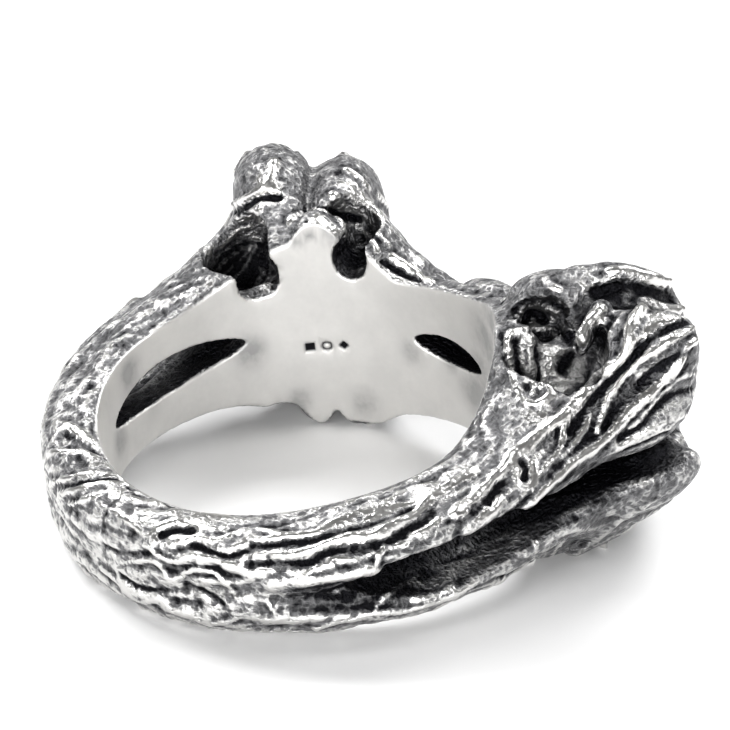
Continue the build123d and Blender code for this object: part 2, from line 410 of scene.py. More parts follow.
# Carved ridges (height above 0) and grooves (below): each one's height and half width in mm, then x and
# y of each pixel of the photograph that it runs through
CARVED_LINES = (
    # front of the upper strand, from the crest down
    (0.16, 0.20, 430, 485, 403, 493, 381, 505, 354, 515, 333, 521, 317, 532, 290, 536, 264, 539,
     240, 531),
    (-0.22, 0.16, 250, 545, 290, 541, 317, 538, 339, 530, 372, 522, 400, 512),
    (0.24, 0.24, 472, 472, 449, 486, 430, 499, 411, 515, 390, 525, 370, 536, 352, 536, 330, 541,
     314, 547, 298, 552, 274, 557),
    (-0.28, 0.26, 432, 512, 412, 528, 387, 543, 352, 549, 327, 553, 303, 565, 250, 563),
    (0.18, 0.16, 438, 520, 425, 529, 410, 534),
    (0.30, 0.34, 499, 501, 481, 520, 457, 539, 433, 552, 409, 558, 386, 568, 354, 571, 330, 576,
     306, 578, 290, 581, 270, 584),
    (0.18, 0.20, 330, 566, 298, 571, 277, 567, 250, 572, 222, 566),
    (0.16, 0.14, 373, 568, 378, 556, 383, 546),
    (0.15, 0.14, 417, 576, 390, 592, 375, 606, 374, 615),
    # fan of the near knuckle
    (0.32, 0.30, 692, 311, 657, 309, 640, 313, 631, 332, 627, 354, 619, 364, 597, 381, 580, 400,
     566, 413, 551, 426, 529, 443, 512, 456, 498, 475, 483, 490, 470, 502, 452, 516),
    (0.20, 0.16, 695, 330, 678, 339, 657, 352, 640, 362, 627, 375, 614, 390, 606, 405, 602, 417,
     597, 434),
    (0.30, 0.26, 695, 343, 682, 360, 672, 375, 657, 388, 640, 405, 619, 426, 597, 445, 576, 460,
     555, 479, 534, 498, 512, 515, 491, 528, 470, 541),
    (0.14, 0.15, 697, 375, 678, 381, 661, 396, 644, 417, 631, 430),
    (0.16, 0.18, 691, 415, 670, 422, 651, 430, 631, 439, 619, 449),
    (0.28, 0.18, 691, 436, 670, 447, 651, 456, 629, 462),
    (-0.30, 0.24, 690, 322, 665, 331, 645, 345, 630, 362, 612, 380, 596, 397, 584, 415, 570, 432),
    (-0.24, 0.22, 693, 351, 672, 362, 650, 376, 630, 394, 616, 410, 604, 428),
    (-0.22, 0.20, 694, 391, 672, 398, 655, 412, 640, 428, 620, 440),
    (-0.18, 0.18, 690, 427, 664, 435, 642, 445, 622, 455),
    (0.20, 0.15, 570, 413, 563, 434, 559, 451, 540, 473, 529, 492),
    (0.16, 0.15, 589, 409, 585, 430, 572, 447, 559, 460),
    (0.20, 0.16, 534, 466, 532, 481, 519, 498, 502, 511, 483, 523),
    (-0.26, 0.20, 519, 460, 525, 469, 524, 479),
    (-0.18, 0.14, 557, 431, 556, 438),
    (-0.24, 0.16, 498, 486, 492, 495, 488, 505),
    # block behind the near tab, the tooth beside it and the cavity above it
    (0.26, 0.18, 519, 392, 515, 385, 509, 360, 508, 345, 512, 335, 525, 330, 549, 330, 557, 339),
    (0.20, 0.13, 532, 337, 530, 360, 534, 388, 532, 394),
    (0.14, 0.11, 521, 358, 527, 383),
    (0.16, 0.13, 546, 347, 549, 360, 544, 375, 540, 388),
    (-0.26, 0.15, 516, 344, 517, 358, 519, 374),
    (-0.24, 0.14, 538, 345, 538, 362, 539, 380),
    (0.50, 0.27, 601, 311, 590, 324, 581, 341),
    (-0.35, 0.35, 566, 330, 572, 352, 562, 368),
    (-0.25, 0.30, 600, 345, 604, 330, 612, 318),
    (0.30, 0.20, 517, 322, 523, 309, 534, 304, 546, 306, 557, 314),
    (-0.45, 0.30, 526, 320, 534, 315, 544, 320),
    (0.25, 0.16, 551, 319, 553, 321),
    (-0.60, 0.42, 600, 292, 622, 289, 648, 291, 672, 298, 692, 304),
    (0.22, 0.22, 612, 272, 632, 272, 655, 279, 672, 285),
    (0.16, 0.18, 540, 272, 548, 284, 560, 290),
    (0.16, 0.14, 520, 398, 530, 404, 542, 402, 552, 394),
    # far knuckle: lobes, lip of the hollow, cap of the tab, and the strand beyond it
    (0.26, 0.22, 274, 161, 272, 176, 267, 185, 258, 191, 246, 199, 231, 207, 225, 214),
    (-0.26, 0.18, 281, 197, 262, 197, 247, 205, 233, 215),
    (0.18, 0.17, 262, 210, 252, 214, 243, 219),
    (0.30, 0.18, 251, 223, 240, 226, 231, 234, 220, 245),
    (0.24, 0.22, 292, 222, 298, 216, 313, 211, 326, 213, 338, 222, 344, 234),
    (-0.20, 0.12, 294, 238, 302, 233, 314, 230, 328, 232, 339, 238),
    (-0.30, 0.16, 295, 231, 294, 237),
    (-0.22, 0.10, 307, 221, 306, 229),
    (0.22, 0.18, 276, 251, 287, 253),
    (0.30, 0.24, 349, 171, 359, 178, 368, 188),
    (0.22, 0.20, 379, 197, 386, 205, 390, 213),
    (0.30, 0.26, 334, 196, 337, 198),
    (0.20, 0.13, 338, 187, 350, 187, 355, 199, 359, 210),
    (-0.35, 0.22, 326, 208, 341, 216, 359, 220),
    (0.26, 0.18, 362, 271, 384, 277, 399, 282, 430, 287, 466, 298),
    (0.26, 0.22, 393, 257, 407, 265, 422, 277, 432, 284),
    (0.20, 0.13, 358, 225, 373, 240, 378, 251),
    (0.18, 0.13, 376, 231, 390, 246),
    (-0.24, 0.16, 383, 262, 402, 272, 420, 281),
    # back of the shank: ridges that cross it, then run along it
    (0.20, 0.20, 192, 304, 161, 326, 133, 350, 116, 369, 105, 391, 103, 413, 107, 434, 120, 452),
    (0.16, 0.16, 64, 421, 79, 428, 94, 439, 112, 452, 133, 471),
    (-0.18, 0.16, 66, 432, 80, 440, 96, 451, 112, 463),
    (0.16, 0.15, 51, 450, 83, 450, 112, 460, 127, 471),
    (0.16, 0.15, 53, 480, 83, 473, 105, 473, 133, 480),
    (-0.16, 0.14, 54, 487, 84, 480, 108, 478, 130, 482),
    (0.18, 0.15, 59, 493, 90, 484, 116, 482, 137, 486),
    (0.16, 0.14, 68, 503, 94, 495, 112, 491, 148, 491),
    (-0.20, 0.14, 133, 492, 153, 497, 174, 506, 192, 504),
    (0.22, 0.18, 127, 519, 148, 534, 161, 525, 183, 521, 203, 528, 225, 531),
    (-0.22, 0.17, 161, 533, 176, 529, 192, 531),
    (0.20, 0.17, 170, 545, 196, 537, 213, 541, 235, 534, 257, 530, 280, 534),
    (-0.20, 0.16, 192, 543, 213, 552, 228, 556, 248, 549, 280, 543),
    (0.16, 0.13, 144, 543, 170, 560, 192, 556, 213, 560, 240, 567),
    (0.16, 0.13, 116, 562, 153, 560, 170, 578, 192, 569, 213, 573, 235, 593, 240, 608),
    (0.16, 0.14, 99, 567, 116, 580, 138, 599, 161, 599, 181, 612, 213, 621, 248, 612),
    (-0.16, 0.14, 104, 545, 122, 552, 146, 553),
    (-0.16, 0.14, 120, 572, 140, 586, 165, 590),
    (-0.18, 0.16, 185, 583, 205, 592, 222, 603),
    # lower strand
    (0.22, 0.18, 500, 572, 478, 581, 452, 594, 425, 604, 400, 611, 373, 612, 354, 617, 330, 622,
     314, 627),
    (0.16, 0.12, 452, 588, 432, 596, 412, 600),
    (0.16, 0.12, 266, 599, 274, 614),
    (0.18, 0.14, 260, 617, 282, 621, 303, 618),
    (0.14, 0.24, 682, 481, 650, 502, 619, 521, 589, 545, 560, 562),
    (0.20, 0.13, 561, 543, 546, 560, 540, 572),
    (0.18, 0.13, 534, 545, 530, 562, 520, 575),
)

# Places rubbed bright: the radius of each in mm, and x and y of the photograph's pixel that it lies at
RUBBED = (
    # far knuckle: cap of the tab, lobes
    (0.80, 318, 226), (0.60, 335, 236), (0.60, 265, 185), (0.50, 276, 166),
    (0.70, 352, 185), (0.70, 366, 200), (0.60, 380, 215), (0.50, 412, 268),
    # near knuckle: corner of the fan, foot of its ridge, block, tooth, dome
    (0.70, 645, 318), (1.00, 668, 312), (0.60, 688, 320), (1.00, 545, 425),
    (0.90, 530, 445), (0.80, 515, 460), (0.50, 512, 350), (0.50, 525, 335),
    (0.55, 545, 350), (0.60, 598, 320), (0.60, 588, 335), (0.70, 655, 278),
    (0.50, 538, 306), (0.60, 522, 402), (0.55, 545, 400), (0.70, 548, 368),
    (0.55, 532, 372), (0.60, 562, 388), (0.55, 577, 372),
    # top of the front strand
    (0.80, 470, 480), (0.80, 450, 490), (0.70, 420, 502), (0.70, 385, 515),
    (0.60, 345, 530), (0.60, 215, 518), (0.70, 165, 480),
)

# Places in the finger hole that are darkened, given in the same way: partly tarnish, and at its right end
# painted shade, where the hole faces away from the light and mirrors the dark knuckle
DULLED_AND_SHADED = (
    (1.70, 492, 322), (1.80, 488, 345), (1.70, 485, 375), (1.40, 478, 398),
    (0.90, 250, 352), (0.80, 140, 400), (0.90, 128, 372), (0.80, 120, 440),
    (0.60, 412, 352), (0.60, 455, 362), (0.70, 300, 400), (0.70, 365, 402),
    (0.25, 298, 241), (0.25, 304, 237), (0.25, 311, 234), (0.25, 318, 233),
    (0.25, 325, 233), (0.25, 332, 236), (0.25, 338, 240),
)

# Places outside it that are blackened through, given in the same way
BLACKENED = (
    (0.70, 300, 591), (0.80, 322, 590), (0.80, 347, 590), (0.80, 372, 588),
    (0.70, 397, 583), (0.60, 418, 574), (0.90, 236, 262), (0.90, 250, 275),
    (0.80, 262, 262), (0.70, 352, 262), (0.60, 342, 250), (0.70, 612, 300),
)


def smooth_step(low, high, value):
    """0 below low, 1 above high, and an even S between them: three squares of the share of the way less
    two cubes of it."""
    share = np.clip((value - low) / (high - low), 0.0, 1.0)
    return share * share * (3 - 2 * share)


def smooth_min(a, b, width):
    """The lesser of two distances, less a parabola where they come within a width of each other, a
    quarter of the width deep where they are the same."""
    near = np.maximum(width - np.abs(a - b), 0.0) / width
    return np.minimum(a, b) - near * near * width / 4


def smooth_max(a, b, width):
    """The greater of two distances, rounded in the same way."""
    return -smooth_min(-a, -b, width)


def eased_column(table, column, share):
    """One column of a table between its rows, as a cubic curve that doesn't overshoot them: its slope at
    a row is the harmonic mean of the slopes to the rows beside it, or nought where they differ in sign."""
    xs, ys = table[:, 0], table[:, column]
    steps = np.diff(ys) / np.diff(xs)
    slopes = np.zeros(len(xs))
    same_way = steps[:-1] * steps[1:] > 0
    before, after = steps[:-1][same_way], steps[1:][same_way]
    slopes[1:-1][same_way] = 2 * before * after / (before + after)
    row = np.clip(np.searchsorted(xs, share) - 1, 0, len(xs) - 2)
    width = xs[row + 1] - xs[row]
    t = np.clip((share - xs[row]) / width, 0.0, 1.0)
    rise = ys[row + 1] - ys[row]
    ends = slopes[row] * (1 - t) ** 2 * t - slopes[row + 1] * t * t * (1 - t)
    return ys[row] + rise * t * t * (3 - 2 * t) + width * ends


def oval_norm(u, v, half_u, half_v):
    """Size of a full oval through each point, 1 on the oval itself, and how fast it grows per mm: the
    sum of both distances from its middle, as shares of its half sizes and raised to a power, and the root of
    that power."""
    au, av = np.abs(u) / half_u, np.abs(v) / half_v
    pu, pv = au ** (FULLNESS - 1), av ** (FULLNESS - 1)
    total = pu * au + pv * av + 1e-9
    norm = total ** (1 / FULLNESS)
    growth = norm / total * np.hypot(pu / half_u, pv / half_v)
    return norm, np.maximum(growth, LEAST_GROWTH)


def turn_between(angle, other):
    """Smallest turn from one angle to another, in degrees."""
    return (angle - other + 180.0) % 360.0 - 180.0


def polar_of(points):
    """Radius, angle round the ring and height of each point, and the same with the angle turned
    positive, since the strands mirror each other."""
    x, y, z = points.T
    radius = np.hypot(x, y)
    angle = np.degrees(np.arctan2(x, y))
    return (radius, angle, z), (radius, np.abs(angle), z)


def strand_section(angle, side):
    """Middle and half sizes of a strand's section, and its lean, at each angle: from the shank's sizes
    at the back to the knuckle's by the table's shares, with the gap between the strands left free."""
    share = np.clip((np.abs(angle) - KNUCKLE_ANGLE) / (180.0 - KNUCKLE_ANGLE), 0.0, 1.0)
    out, high, gap, lean = (eased_column(STRAND, column, share) for column in (1, 2, 3, 4))
    outer = SHANK_THICKNESS + out * (REACH[side] - SHANK_THICKNESS)
    inner = -WALL_THICKNESS / 2
    top = SHANK_HALF_HEIGHT + high * (HEIGHT[side] - SHANK_HALF_HEIGHT)
    bottom = gap * np.where(gap > 0, STRAND_GAP, STRAND_OVERLAP)
    return ((outer + inner) / 2, (outer - inner) / 2, side * (top + bottom) / 2, (top - bottom) / 2,
            lean + END_LEAN[side] * high)


def strand(polar, side):
    """Distance from one strand: a full oval whose sizes change with the angle, less 1 and over its
    growth, drawn in by its lean on the outer half, and cut off at the knuckle."""
    radius, angle, z = polar
    middle_r, half_r, middle_z, half_z, lean = strand_section(angle, side)
    u = radius - BORE_RADIUS - middle_r
    drawn_in = 1 - lean * np.clip(u / half_r, 0.0, 1.0)
    norm, growth = oval_norm(u, z / drawn_in - middle_z, half_r, half_z)
    body = (norm - 1) / growth
    end = (KNUCKLE_ANGLE - np.abs(angle)) * radius * math.pi / 180
    return smooth_max(body, end, BLEND["strand_end"])


def pebble(polar, angle, half_angle, middle_r, half_r, middle_z, half_z):
    """Distance from a rounded lobe about a place on the plane at an angle: the root of the squares of
    the turn's share and the section's oval, less 1 and over its slope."""
    radius, around, z = polar
    turn = turn_between(around, angle)
    near = np.abs(turn) < half_angle + LOBE_MARGIN
    distance = np.full(radius.shape, FAR)
    r = radius[near]
    norm, growth = oval_norm(r - BORE_RADIUS - middle_r, z[near] - middle_z, half_r, half_z)
    share = turn[near] / half_angle
    size = np.sqrt(share * share + norm * norm) + 1e-6
    arc = np.maximum(r, 1.0) * half_angle * math.pi / 180
    slope = np.hypot(share / size / arc, norm / size * growth)
    distance[near] = (size - 1) / slope
    return distance


def peg(points, start, end, thickness):
    """Distance from a round-ended peg between two places given as angle, radius and height: that from
    the nearest point of its axis, less its half thickness."""
    ends = []
    for angle, radius, z in (start, end):
        turn = math.radians(angle)
        ends.append(np.array((radius * math.sin(turn), radius * math.cos(turn), z)))
    way = ends[1] - ends[0]
    share = np.clip((points - ends[0]) @ way / (way @ way), 0.0, 1.0)
    return np.linalg.norm(points - ends[0] - share[:, None] * way, axis=1) - thickness


def crossed_bone(polar, side, proud):
    """Distance from a bone that runs from an upper knuckle to the lower one across the display side: a
    full oval whose height and sizes change with the angle, stood off more towards the middle."""
    radius, angle, z = polar
    near = np.abs(angle) < BONE_ANGLE * CROSSED_BONE[-1, 0] + BONE_MARGIN
    distance = np.full(radius.shape, FAR)
    turn = angle[near] * side
    along = np.clip(np.abs(turn) / BONE_ANGLE, 0.0, CROSSED_BONE[-1, 0])
    rise, thick, wide = (eased_column(CROSSED_BONE, column, along) for column in (1, 2, 3))
    half_r = BONE_THICKNESS * thick / 2
    middle_r = half_r * BONE_STAND_OFF + proud * (1 - along)
    norm, growth = oval_norm(radius[near] - BORE_RADIUS - middle_r,
                             z[near] - np.sign(turn) * rise * BONE_RISE, half_r, BONE_HALF_HEIGHT * wide)
    distance[near] = (norm - 1) / growth
    return distance


def wall_band(polar):
    """Distance from the band round the finger hole, which is lower at the back of the shank: the greater
    of how far a point is out of its thickness and out of its two rims."""
    radius, angle, z = polar
    top, bottom = (eased_column(WALL_RIM, column, angle) for column in (1, 2))
    outside = np.maximum(radius - BORE_RADIUS - WALL_THICKNESS, BORE_RADIUS - WALL_THICKNESS - radius)
    return smooth_max(outside, np.maximum(z - top, -bottom - z), BLEND["wall_edge"])


def slot(polar, start, end, half_height, lift):
    """Distance from a pointed slot that runs between two angles, lifted off the middle height: its half
    height is a power of the sine of the way along it, and grows outwards."""
    radius, angle, z = polar
    share = np.clip((angle - start) / (end - start), 0.0, 1.0)
    height = half_height * np.maximum(np.sin(math.pi * share), 0.0) ** SLOT_POINT
    opened = height * (1 + SLOT_FLARE * (radius - BORE_RADIUS))
    past_end = np.maximum(start - angle, angle - end) * radius * math.pi / 180
    return smooth_max(np.abs(z - lift) - opened, past_end, BLEND["slot_end"])


def with_lobes(field, polar, table, blend, cut=False):
    """The field with a table's rounded forms joined to it or cut from it, softly by the blend or by the
    row's own."""
    for side, angle, half_angle, out, half_out, high, half_high, *own_blend in table:
        form = pebble(polar, angle, half_angle, out, half_out, side * high, half_high)
        width = own_blend[0] if own_blend else blend
        field = smooth_max(field, -form, width) if cut else smooth_min(field, form, width)
    return field


def ring_field(points):
    """Distance from the ring's plain form to each point: all its forms joined softly, then its hollows,
    slots and finger hole cut from them."""
    polar, mirrored = polar_of(points)
    radius = polar[0]
    field = smooth_min(strand(mirrored, 1), strand(mirrored, -1), BLEND["strand"])
    field = with_lobes(field, polar, MASS, BLEND["mass"])
    in_mm = [(side, angle, LOBE_HALF_ANGLE, out * REACH[side], half_out * REACH[side],
              high * HEIGHT[side], half_high * HEIGHT[side])
             for side, angle, out, high, half_out, half_high in LOBE]
    field = with_lobes(field, polar, in_mm, BLEND["lobe"])
    field = smooth_min(field, crossed_bone(polar, 1, CROSSING_STEP), BLEND["outer_bone"])
    field = smooth_min(field, crossed_bone(polar, -1, 0.0), BLEND["inner_bone"])
    field = with_lobes(field, polar, HOLLOW, BLEND["hollow"], cut=True)
    field = smooth_min(field, wall_band(polar), BLEND["wall"])
    field = with_lobes(field, polar, TAB, BLEND["tab"])
    field = with_lobes(field, polar, TAB_NOTCH, BLEND["notch"], cut=True)
    field = smooth_min(field, peg(points, *TOOTH, TOOTH_HALF_THICKNESS), BLEND["tooth"])
    field = smooth_max(field, -slot(mirrored, *SIDE_SLOT), BLEND["slot"])
    display_slot = np.where(radius < BORE_RADIUS + DISPLAY_SLOT_DEPTH, slot(polar, *DISPLAY_SLOT), FAR)
    field = smooth_max(field, -display_slot, BLEND["slot"])
    return smooth_max(field, BORE_RADIUS - radius, BLEND["finger_hole"])


def field_normals(points):
    """Outward normal of the plain form at each point, from differences of its distances."""
    offsets = np.eye(3) * SLOPE_STEP
    slopes = np.stack([ring_field(points + offset) - ring_field(points - offset) for offset in offsets],
                      axis=1)
    return slopes / np.maximum(np.linalg.norm(slopes, axis=1, keepdims=True), 1e-9)


def onto_skin(points, rounds):
    """The points moved along the field's slope until they lie on the plain form."""
    for _ in range(rounds):
        move = np.clip(ring_field(points), -FARTHEST_MOVE, FARTHEST_MOVE)[:, None]
        points = points - field_normals(points) * move
    return points


def plain_skin(spacing):
    """Vertices and quads of the plain form: one vertex in each cell of a cubic lattice that the skin
    crosses, at the middle of its crossings, and a quad round each lattice edge that the skin crosses."""
    low = np.array(SKIN_LOW)
    side = spacing * BLOCK_CELLS
    blocks = (np.ceil((np.array(SKIN_HIGH) - low) / side)).astype(int)
    axes = [low[k] + side * (np.arange(blocks[k]) + 0.5) for k in range(3)]
    middles = np.stack(np.meshgrid(*axes, indexing="ij"), axis=-1).reshape(-1, 3)
    rough = ring_field(middles).reshape(blocks)
    close = np.abs(rough) < side * BLOCK_SHARE + BLOCK_SLACK
    values = rough
    for axis in range(3):
        values = np.repeat(values, BLOCK_CELLS, axis)
    within = np.stack(np.meshgrid(*[np.arange(BLOCK_CELLS)] * 3, indexing="ij"), axis=-1).reshape(-1, 3)
    fine = (np.argwhere(close)[:, None, :] * BLOCK_CELLS + within[None]).reshape(-1, 3)
    values[tuple(fine.T)] = ring_field(low + spacing * (fine + 0.5))
    size = blocks * BLOCK_CELLS
    inside = values < 0
    shape = size - 1
    corner_inside = [inside[i:i + shape[0], j:j + shape[1], k:k + shape[2]]
                     for i in (0, 1) for j in (0, 1) for k in (0, 1)]
    some = np.logical_or.reduce(corner_inside)
    every = np.logical_and.reduce(corner_inside)
    active = np.argwhere(some & ~every)
    number = np.full(shape, -1, np.int64)
    number[tuple(active.T)] = np.arange(len(active))
    total = np.zeros((len(active), 3))
    count = np.zeros(len(active))
    for axis in range(3):
        step = np.eye(3, dtype=int)[axis]
        across = [k for k in range(3) if k != axis]
        for shift in ((0, 0), (0, 1), (1, 0), (1, 1)):
            start = active.copy()
            start[:, across] += shift
            a = values[tuple(start.T)]
            b = values[tuple((start + step).T)]
            crossed = (a < 0) != (b < 0)
            share = np.where(crossed, a / np.where(crossed, a - b, 1.0), 0.0)
            total += (start + share[:, None] * step) * crossed[:, None]
            count += crossed
    vertices = low + spacing * (total / count[:, None] + 0.5)
    quads = []
    for axis in range(3):
        other = [(axis + 1) % 3, (axis + 2) % 3]
        near, far = (inside[tuple(slice(end, size[k] - 1 + end) if k == axis else slice(1, size[k] - 1)
                                  for k in range(3))] for end in (0, 1))
        edges = np.argwhere(near != far)
        outward = near[tuple(edges.T)]
        edges[:, other] += 1
        corners = []
        for shift in ((0, 0), (1, 0), (1, 1), (0, 1)):
            cell = edges.copy()
            cell[:, other] -= shift
            corners.append(number[tuple(cell.T)])
        quad = np.stack(corners, axis=1)
        quads.append(np.where(outward[:, None], quad, quad[:, ::-1]))
    return vertices, np.concatenate(quads)


def view_axes():
    """Right, up and back of the photograph's view as unit vectors in the row's frame, from its turn and
    its height by their sines and cosines."""
    azimuth, elevation = math.radians(PHOTO_AZIMUTH), math.radians(PHOTO_ELEVATION)
    right = np.array((math.cos(azimuth), math.sin(azimuth), 0.0))
    back = np.array((math.cos(elevation) * math.sin(azimuth), -math.cos(elevation) * math.cos(azimuth),
                     math.sin(elevation)))
    return right, np.cross(back, right), back


def tipped(points, tilt):
    """Points turned about X: by the resting tilt from the ring's own axes to the row's frame, and by
    its opposite back again."""
    cos_tilt, sin_tilt = math.cos(tilt), math.sin(tilt)
    x, y, z = points.T
    return np.stack([x, y * cos_tilt - z * sin_tilt, y * sin_tilt + z * cos_tilt], axis=1)


def seen_through(pixels):
    """Where the sight lines through the pixels first meet the ring's plain form, walked by its
    distances, and whether they meet it."""
    right, up, back = view_axes()
    offsets = (np.asarray(pixels, float) - BORE_IN_PHOTO) / (PHOTO_SCALE * PHOTO_DISTANCE)
    ways = tipped(offsets[:, :1] * right - offsets[:, 1:] * up - back, -REST_TILT)
    ways /= np.linalg.norm(ways, axis=1, keepdims=True)
    eye = tipped(back[None] * PHOTO_DISTANCE, -REST_TILT)
    gone = np.full(len(ways), PHOTO_DISTANCE - WALK_START)
    for _ in range(WALK_STEPS):
        gone += np.clip(ring_field(eye + ways * gone[:, None]), *WALK_RANGE) * WALK_SHARE
    points = eye + ways * gone[:, None]
    return points, np.abs(ring_field(points)) < ON_SKIN


def in_photo(points):
    """Pixels of the photograph that points of the ring's own axes fall on: their way right and up from
    the finger hole's middle, scaled, and larger the nearer they are to the camera."""
    right, up, back = (tipped(axis[None], -REST_TILT)[0] for axis in view_axes())
    nearness = PHOTO_DISTANCE / (PHOTO_DISTANCE - points @ back)
    return np.stack([BORE_IN_PHOTO[0] + points @ right * PHOTO_SCALE * nearness,
                     BORE_IN_PHOTO[1] - points @ up * PHOTO_SCALE * nearness], axis=1)


def rounded_path(corners, step):
    """Points a step apart on the curve through the corners: between two of them a cubic, whose slope at
    each is half the way from the corner before it to the corner after it."""
    corners = corners.astype(float)
    padded = np.concatenate([2 * corners[:1] - corners[1:2], corners, 2 * corners[-1:] - corners[-2:-1]])
    pieces = []
    for start in range(len(corners) - 1):
        a, b, c, d = padded[start:start + 4]
        count = max(2, int(np.linalg.norm(c - b) / step))
        t = (np.arange(count) / count)[:, None]
        pieces.append(b + 0.5 * t * (c - a + t * (2 * a - 5 * b + 4 * c - d + t * (3 * (b - c) + d - a))))
    return np.concatenate(pieces + [corners[-1:]])


def carved_paths():
    """Each carved line's height, half width and points on the plain form: where the photograph shows
    it, and the same mirrored in X, in Z and in both where the photograph doesn't look."""
    pixels = [rounded_path(np.reshape(run, (-1, 2)), PATH_STEP) for _, _, *run in CARVED_LINES]
    line = np.repeat(np.arange(len(pixels)), [len(run) for run in pixels])
    points, met = seen_through(np.concatenate(pixels))
    points, line = points[met], line[met]
    found = [(points, line)]
    for mirror in ((-1, 1, 1), (1, 1, -1), (-1, 1, -1)):
        copy = onto_skin(points * mirror, MIRROR_ROUNDS)
        first, met = seen_through(in_photo(copy))
        unseen = ~met | (np.linalg.norm(first - copy, axis=1) > SAME_PLACE)
        kept = unseen & (np.abs(ring_field(copy)) < ON_SKIN)
        found.append((copy[kept], line[kept]))
    return [(height, half_width, copy[numbers == number])
            for copy, numbers in found for number, (height, half_width, *_) in enumerate(CARVED_LINES)
            if (numbers == number).any()]


def line_carving(points, paths):
    """Height of the carved lines at each point: for each line its height times a bell of the distance
    from its path, a little uneven, the highest ridge and the deepest groove added."""
    ridge = np.zeros(len(points))
    groove = np.zeros(len(points))
    uneven = LEAST_LINE + LINE_UNEVENNESS * grain_at(points, LINE_HEIGHT_GRAIN)
    worn = 1 + LINE_WEAR * (grain_at(points, LINE_WIDTH_GRAIN) - 0.5)
    for height, half_width, path in paths:
        reach = half_width * LINE_REACH
        layer = ridge if height > 0 else groove
        close = np.flatnonzero(((points > path.min(0) - reach) & (points < path.max(0) + reach)).all(1))
        for start in range(0, len(path), LINE_RUN):
            run = path[start:start + LINE_RUN + 1]
            around = points[close]
            part = close[((around > run.min(0) - reach) & (around < run.max(0) + reach)).all(1)]
            gap = points[part][:, None, :] - run[None]
            distance = np.sqrt((gap * gap).sum(2).min(1))
            bell = abs(height) * np.exp(-(distance * worn[part] / half_width) ** 3) * uneven[part]
            layer[part] = np.maximum(layer[part], bell)
    return ridge - groove


def about(points, places):
    """1 at the middle of each place of a table, falling off as a bell of the distance over the radius."""
    middles, met = seen_through([pixel for _, *pixel in places])
    most = np.zeros(len(points))
    for (reach, *_), middle, seen in zip(places, middles, met):
        if seen:
            gap = points - middle
            most = np.maximum(most, np.exp(-(gap * gap).sum(1) / reach ** 2))
    return most


class Grain:
    """Smooth noise from 0 to 1: a seeded table of values at the corners of unit cells, eased between
    them."""
    SIZE = 64

    def __init__(self, seed):
        self.values = np.random.default_rng(seed).random((self.SIZE,) * 3).astype(np.float32)

    def __call__(self, u, v, w, periods=(SIZE,) * 3):
        """Noise at whole arrays of places: the eight values round each place, each by its nearness in all
        three ways, eased as an S. Each way repeats after its period of cells."""
        places = [np.asarray(u, float), np.asarray(v, float), np.asarray(w, float)]
        floors = [np.floor(place).astype(int) for place in places]
        shares = [place - floor for place, floor in zip(places, floors)]
        shares = [share * share * (3 - 2 * share) for share in shares]
        result = 0.0
        for i in (0, 1):
            for j in (0, 1):
                for k in (0, 1):
                    corner = self.values[(floors[0] + i) % periods[0], (floors[1] + j) % periods[1],
                                         (floors[2] + k) % periods[2]]
                    weight = ((shares[0] if i else 1 - shares[0]) * (shares[1] if j else 1 - shares[1])
                              * (shares[2] if k else 1 - shares[2]))
                    result = result + corner * weight
        return result


def grain_at(points, grain):
    """Noise of a seed and a size in mm at each point."""
    seed, size = grain
    return Grain(seed)(*(points / size).T)


def crest(noise):
    """1 where the noise is halfway and falling straight to 0 at its ends, which draws sharp wandering
    ridges."""
    return 1 - np.abs(2 * noise - 1)


def fibres(polar, side):
    """Height of the fibres along one strand: crests of noise that is drawn out along it and goes round
    its section with the bearing, so that they gather where it narrows and fan out at the knuckle."""
    radius, angle, z = polar
    middle_r, half_r, middle_z, half_z, _ = strand_section(angle, side)
    bearing = np.arctan2((z - middle_z) / half_z, (radius - BORE_RADIUS - middle_r) / half_r)
    turn = (angle + 180) / 360
    bearing = bearing / (2 * math.pi) + FIBRE_WAVE * np.sin(2 * math.pi * turn + side)
    zero = np.zeros_like(bearing)
    around, along = FIBRE_SWAY_CELLS
    sway = Grain(SWAY_SEED + side)(bearing * around, turn * along, zero, (around, along, 1)) - 0.5
    height = 0.0
    for octave, (around, along, depth) in enumerate(FIBRES):
        noise = Grain(FIBRE_SEED + octave + SEEDS_TO_SIDE * side)(
            (bearing + FIBRE_SWAY * sway) * around, turn * along, zero, (around, along, 1))
        height = height + depth * (crest(noise) - CREST_LEVEL)
    return height


def grown_along(points):
    """Where each point lies on its strand: mm round the section, from the bearing off its middle, mm
    along the ring, from the angle, and 1 on a strand falling to 0 on the lobes."""
    (radius, angle, z), mirrored = polar_of(points)
    gaps = {side: strand(mirrored, side) for side in (1, -1)}
    bearings = {}
    for side in (1, -1):
        middle_r, half_r, middle_z, half_z, _ = strand_section(angle, side)
        bearings[side] = np.arctan2((z - middle_z) / half_z, (radius - BORE_RADIUS - middle_r) / half_r)
    around = np.where(gaps[1] < gaps[-1], bearings[1], bearings[-1] + LOWER_SHIFT) * SECTION_RADIUS
    along = np.radians(angle) * (BORE_RADIUS + SECTION_RADIUS)
    return around, along, 1 - smooth_step(*OFF_STRAND, np.minimum(gaps[1], gaps[-1]))


